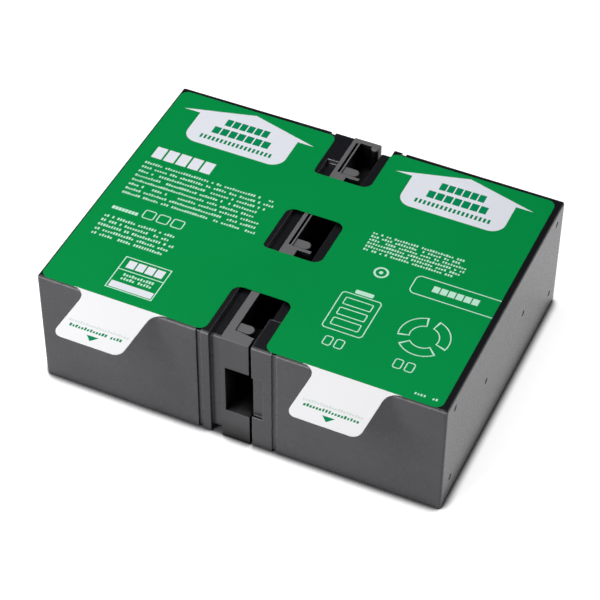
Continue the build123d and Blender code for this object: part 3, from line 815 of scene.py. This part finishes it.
def makeWordRows(settings):
    tree = bpy.data.node_groups.new("wordRows", "GeometryNodeTree")
    groupSocket(tree, "Geometry", "NodeSocketGeometry", "OUTPUT")
    for name in ("rows", "letters", "seed"):
        groupSocket(tree, name, "NodeSocketInt")
    for name in ("rowPitch", "letterPitch", "height", "thickness", "fill", "uneven", "ragged", "gaps"):
        groupSocket(tree, name, "NodeSocketFloat")
    groupSocket(tree, "start", "NodeSocketVector")
    groupSocket(tree, "finish", "NodeSocketMaterial")
    given = addNode(tree, "NodeGroupInput").outputs
    seed, letters, uneven = given["seed"], given["letters"], given["uneven"]
    seeds = settings["seeds"]
    count = multiply(tree, given["rows"], letters)
    line = addNode(tree, "GeometryNodeMeshLine", {"Count": count, "Offset": (0.0, 0.0, 0.0)})
    index = addNode(tree, "GeometryNodeInputIndex").outputs[0]
    row = mathNode(tree, "FLOOR", mathNode(tree, "DIVIDE", index, letters))
    letter = mathNode(tree, "SUBTRACT", index, multiply(tree, row, letters))

    missing = multiply(tree, given["ragged"], randomShare(tree, seed, seeds["rowEnd"], row))
    rowEnd = multiply(tree, mathNode(tree, "SUBTRACT", 1.0, missing), letters)
    beyond = mathNode(tree, "GREATER_THAN", letter, rowEnd)
    blank = mathNode(tree, "LESS_THAN", randomShare(tree, seed, seeds["gap"], index), given["gaps"])
    inner = mathNode(tree, "GREATER_THAN", letter, settings["firstGap"])
    dropped = mathNode(tree, "ADD", beyond, multiply(tree, blank, inner))
    kept = mathNode(tree, "LESS_THAN", dropped, 0.5)

    low = mathNode(tree, "LESS_THAN", randomShare(tree, seed, seeds["low"], index), 0.5)
    lost = multiply(tree, multiply(tree, low, uneven), settings["lower"])
    blockHigh = multiply(tree, given["height"], mathNode(tree, "SUBTRACT", 1.0, lost))
    thin = multiply(tree, randomShare(tree, seed, seeds["thin"], index), uneven)
    filled = mathNode(tree, "SUBTRACT", given["fill"], multiply(tree, thin, settings["thinner"]))
    blockWide = multiply(tree, given["letterPitch"], filled)
    across = multiply(tree, letter, given["letterPitch"])
    down = multiply(tree, row, multiply(tree, given["rowPitch"], -1.0))
    middle = mathNode(tree, "ADD", down, multiply(tree, blockHigh, 0.5))
    spot = addNode(tree, "ShaderNodeCombineXYZ", {0: across, 1: middle, 2: 0.0})
    place = vectorMath(tree, "ADD", spot.outputs[0], given["start"])
    moved = addNode(tree, "GeometryNodeSetPosition", {"Geometry": line.outputs[0], "Position": place})
    scale = addNode(tree, "ShaderNodeCombineXYZ", {0: blockWide, 1: blockHigh, 2: given["thickness"]})
    block = addNode(tree, "GeometryNodeMeshCube", {"Size": (1.0, 1.0, 1.0)})
    placed = addNode(tree, "GeometryNodeInstanceOnPoints", {
        "Points": moved.outputs[0],
        "Selection": kept,
        "Instance": block.outputs[0],
        "Scale": scale.outputs[0],
    })
    solid = addNode(tree, "GeometryNodeRealizeInstances", {"Geometry": placed.outputs[0]})
    painted = addNode(tree, "GeometryNodeSetMaterial", {
        "Geometry": solid.outputs[0],
        "Material": given["finish"],
    })
    addNode(tree, "NodeGroupOutput", {"Geometry": painted.outputs[0]})
    return tree


wordRows = makeWordRows(letterSettings)
plainLine = {"fill": 0.84, "uneven": 0.0, "ragged": 0.0, "gaps": 0.0}
thinText = {"fill": 0.74, "uneven": 1.0, "ragged": 0.14, "gaps": 0.16}


# size: rows, letters in a row, row pitch, letter pitch, height
def wordPiece(name, place, size, seed, look=plainLine, finish="whiteInk", low="filmTop", high="inkTop"):
    holder = bpy.data.objects.new(name + "Holder", bpy.data.meshes.new(name + "Holder"))
    bpy.context.collection.objects.link(holder)
    modifier = holder.modifiers.new("rows", "NODES")
    modifier.node_group = wordRows
    rows, letters, rowPitch, letterPitch, height = size
    lowZ, highZ = labelSettings[low], labelSettings[high]
    start = (place[0] + letterPitch / 2, place[1], (lowZ + highZ) / 2)
    values = {
        "rows": rows,
        "letters": letters,
        "seed": seed,
        "rowPitch": rowPitch * mm,
        "letterPitch": letterPitch * mm,
        "height": height * mm,
        "thickness": (highZ - lowZ) * mm,
        "start": [value * mm for value in start],
        "finish": finishes[finish],
        **look,
    }
    for item in wordRows.interface.items_tree:
        if item.in_out == "INPUT" and item.name in values:
            modifier[item.identifier] = values[item.name]
    return labelPiece(name, plainMesh(holder))


# name: left and base of the first row, size of the rows, seed, look, finish
wordSettings = {
    "title_words": ((-92.5, 20.4), (1, 5, 9.0, 6.5, 8.2), 4, plainLine, "whiteInk"),
    "note_words": ((-92.9, 15.2), (8, 52, 3.37, 1.38, 1.5), 11, thinText, "mintInk"),
    "name_words": ((-92.1, -20.2), (1, 8, 4.0, 1.72, 2.1), 5, plainLine, "mintInk"),
    "care_words": ((-92.8, -26.5), (5, 29, 3.22, 1.38, 1.6), 21, thinText, "mintInk"),
    "rule_words": ((27.2, 15.6), (6, 38, 2.36, 1.36, 1.35), 31, thinText, "mintInk"),
    "rating_words": ((66.6, -8.8), (1, 6, 5.0, 3.85, 4.0), 8, plainLine, "mintInk"),
    "code_words": ((83.8, -70.7), (1, 8, 2.0, 1.42, 1.3), 9, thinText, "mintInk"),
}
for pieceName, (place, rowSize, seed, look, finish) in wordSettings.items():
    wordPiece(pieceName, place, rowSize, seed, look, finish)


# rows: base, letters, pitch, height, fill
arrowSettings = {
    "apexY": 70.5,
    "wingY": 61.1,
    "wing": 35.4,
    "half": 26.6,
    "baseY": 40.2,
    "corner": 7.0,
    "rows": ((57.3, 6, 3.95, 5.0, 0.84), (50.0, 7, 4.45, 5.0, 0.84), (44.5, 18, 2.18, 2.9, 0.55)),
    "places": {"left_arrow": (-58.4, -0.8), "right_arrow": (55.2, 0.0)},
}


def makeArrow(name, place, size):
    x, lift = place
    corners = [
        (x, size["apexY"], 0.0),
        (x - size["wing"], size["wingY"], 0.0),
        (x - size["half"], size["wingY"], 0.0),
        (x - size["half"], size["baseY"], size["corner"]),
        (x + size["half"], size["baseY"], size["corner"]),
        (x + size["half"], size["wingY"], 0.0),
        (x + size["wing"], size["wingY"], 0.0),
    ]
    field = outline([(cornerX, y + lift, radius) for cornerX, y, radius in corners])
    low, high = labelSettings["filmTop"], labelSettings["inkTop"]
    flatPiece(name + "_field", [field], low, high, "whiteInk")
    for number, (y, letters, pitch, height, fill) in enumerate(size["rows"]):
        rowPlace = (x - letters * pitch / 2, y + lift)
        rowSize = (1, letters, pitch, pitch, height)
        look = {**plainLine, "fill": fill}
        rowName = name + "_words_" + str(number)
        wordPiece(rowName, rowPlace, rowSize, number, look, "greenInk", "inkTop", "overInkTop")


for arrowName, arrowPlace in arrowSettings["places"].items():
    makeArrow(arrowName, arrowPlace, arrowSettings)


# bar: its left, low, right and high side from the badge's low corner and right side.
# title and words: place from the low left end of the divider, size of the rows, seed
badgeSettings = {
    "low": (-70.0, -68.2),
    "high": (-46.0, -46.5),
    "line": 0.55,
    "divider": -55.2,
    "bar": (1.3, 1.0, 1.0, 5.0),
    "title": ((2.6, 1.8), (1, 4, 5.0, 4.85, 5.0), 61),
    "words": ((4.2, -3.4), (2, 11, 2.6, 1.45, 1.7), 63),
    "gaps": 0.08,
}


def makeBadge(size):
    (x0, y0), (x1, y1) = size["low"], size["high"]
    line = size["line"]
    cut = size["divider"]
    loops = [
        outline(rectangle((x0, y0), (x1, y1))),
        outline(rectangle((x0 + line, cut + line / 2), (x1 - line, y1 - line))),
        outline(rectangle((x0 + line, y0 + line), (x1 - line, cut - line / 2))),
    ]
    low, high = labelSettings["filmTop"], labelSettings["inkTop"]
    flatPiece("badge_lines", loops, low, high, "mintInk")
    left, bottom, right, top = size["bar"]
    bar = outline(rectangle((x0 + left, y0 + bottom), (x1 - right, y0 + top)))
    flatPiece("badge_bar", [bar], low, high, "whiteInk")
    (x, y), rowSize, seed = size["title"]
    wordPiece("badge_title", (x0 + x, cut + y), rowSize, seed)
    (x, y), rowSize, seed = size["words"]
    look = {**thinText, "gaps": size["gaps"]}
    wordPiece("badge_words", (x0 + x, cut + y), rowSize, seed, look, "mintInk")


makeBadge(badgeSettings)


# frames: left, base, count and pitch of each row of small frames
symbolSettings = {
    "line": 0.55,
    "cell": ((30.0, -50.0), (50.0, -25.0)),
    "cellCorner": 2.0,
    "cap": ((35.5, -24.3), (44.5, -21.8)),
    "capCorner": 0.6,
    "bars": 3,
    "barInset": 3.0,
    "barPitch": 7.0,
    "barHigh": 5.0,
    "barCorners": (0.8, 0.4),
    "loopCentre": (75.0, -37.0),
    "loopOuter": 12.2,
    "loopInner": 6.6,
    "loopParts": 3,
    "loopStart": 100,
    "loopTurn": 96,
    "ringCentre": (41.3, -7.0),
    "ringRadii": ((3.6, 40), (2.6, 40), (1.0, 20)),
    "ratingLow": (57.0, -13.4),
    "ratingHigh": (98.2, -1.0),
    "ratingCorner": 3.0,
    "frames": ((34.6, -60.0, 2, 5.6), (68.6, -60.0, 2, 5.6), (-76.4, -20.2, 3, 7.5)),
    "frameHigh": 6.0,
    "frameGap": 1.3,
    "frameCorners": (1.3, 0.7),
}


# A cell with bars in it and a cap on it
def cellLoops(size):
    (x0, y0), (x1, y1) = size["cell"]
    line, corner, inset = size["line"], size["cellCorner"], size["barInset"]
    loops = drawnFrame((x0, y0), (x1, y1), line, corner, corner - line)
    loops.append(outline(rectangle(*size["cap"], size["capCorner"])))
    for index in range(size["bars"]):
        low = y0 + inset + index * size["barPitch"]
        barLow, barHigh = (x0 + inset, low), (x1 - inset, low + size["barHigh"])
        loops += drawnFrame(barLow, barHigh, line, *size["barCorners"])
    return loops


def brokenRingLoops(size):
    centre, line = size["loopCentre"], size["line"]
    inner, outer = size["loopInner"], size["loopOuter"]
    trim = line / (inner + line)
    loops = []
    for index in range(size["loopParts"]):
        first = math.radians(size["loopStart"] + index * 360 / size["loopParts"])
        last = first + math.radians(size["loopTurn"])
        loops.append(sector(centre, inner, outer, first, last))
        loops.append(sector(centre, inner + line, outer - line, first + trim, last - trim))
    return loops


# The rating's frame runs off the right edge of the film
def ratingLoops(size):
    (left, bottom), (right, top) = size["ratingLow"], size["ratingHigh"]
    bend, line = size["ratingCorner"], size["line"]
    return [outline([
        (right, bottom, 0.0), (right, bottom + line, 0.0),
        (left + line, bottom + line, bend - line), (left + line, top - line, bend - line),
        (right, top - line, 0.0), (right, top, 0.0), (left, top, bend), (left, bottom, bend),
    ])]


def smallFrameLoops(size):
    loops = []
    for x, y, count, pitch in size["frames"]:
        for step in range(count):
            left = x + step * pitch
            high = (left + pitch - size["frameGap"], y + size["frameHigh"])
            loops += drawnFrame((left, y), high, size["line"], *size["frameCorners"])
    return loops


def makeSymbols(size):
    loops = cellLoops(size) + brokenRingLoops(size)
    for radius, count in size["ringRadii"]:
        loops.append(circle(size["ringCentre"], radius, count))
    loops += ratingLoops(size) + smallFrameLoops(size)
    flatPiece("label_symbols", loops, labelSettings["filmTop"], labelSettings["inkTop"], "mintInk")


makeSymbols(symbolSettings)


# pale and bold: left end from the tab's middle, base, size of the row
tabPrintSettings = {
    "pale": (-15.0, -94.2, (1, 22, 1.4, 1.38, 1.6)),
    "bold": (-13.4, -97.1, (1, 18, 2.0, 1.48, 1.8)),
    "gaps": 0.1,
    "triangleTop": -99.0,
    "triangleDeep": 3.1,
    "triangleHalf": 3.0,
    "places": {"left_tab": (-59.3, 70), "right_tab": (56.0, 80)},
}


def makeTabPrint(name, x, seed, size):
    thinLine = {**thinText, "ragged": 0.0, "gaps": size["gaps"]}
    for number, (kind, finish) in enumerate((("pale", "paleInk"), ("bold", "greenInk"))):
        left, base, rowSize = size[kind]
        rowName = name + "_" + kind + "_words"
        wordPiece(rowName, (x + left, base), rowSize, seed + number, thinLine, finish)
    top = size["triangleTop"]
    half = size["triangleHalf"]
    corners = [(x - half, top, 0.0), (x + half, top, 0.0), (x, top - size["triangleDeep"], 0.0)]
    low, high = labelSettings["filmTop"], labelSettings["inkTop"]
    flatPiece(name + "_pointer", [outline(corners)], low, high, "greenInk")


for tabName, (tabX, tabSeed) in tabPrintSettings["places"].items():
    makeTabPrint(tabName, tabX, tabSeed, tabPrintSettings)
print("label print made")
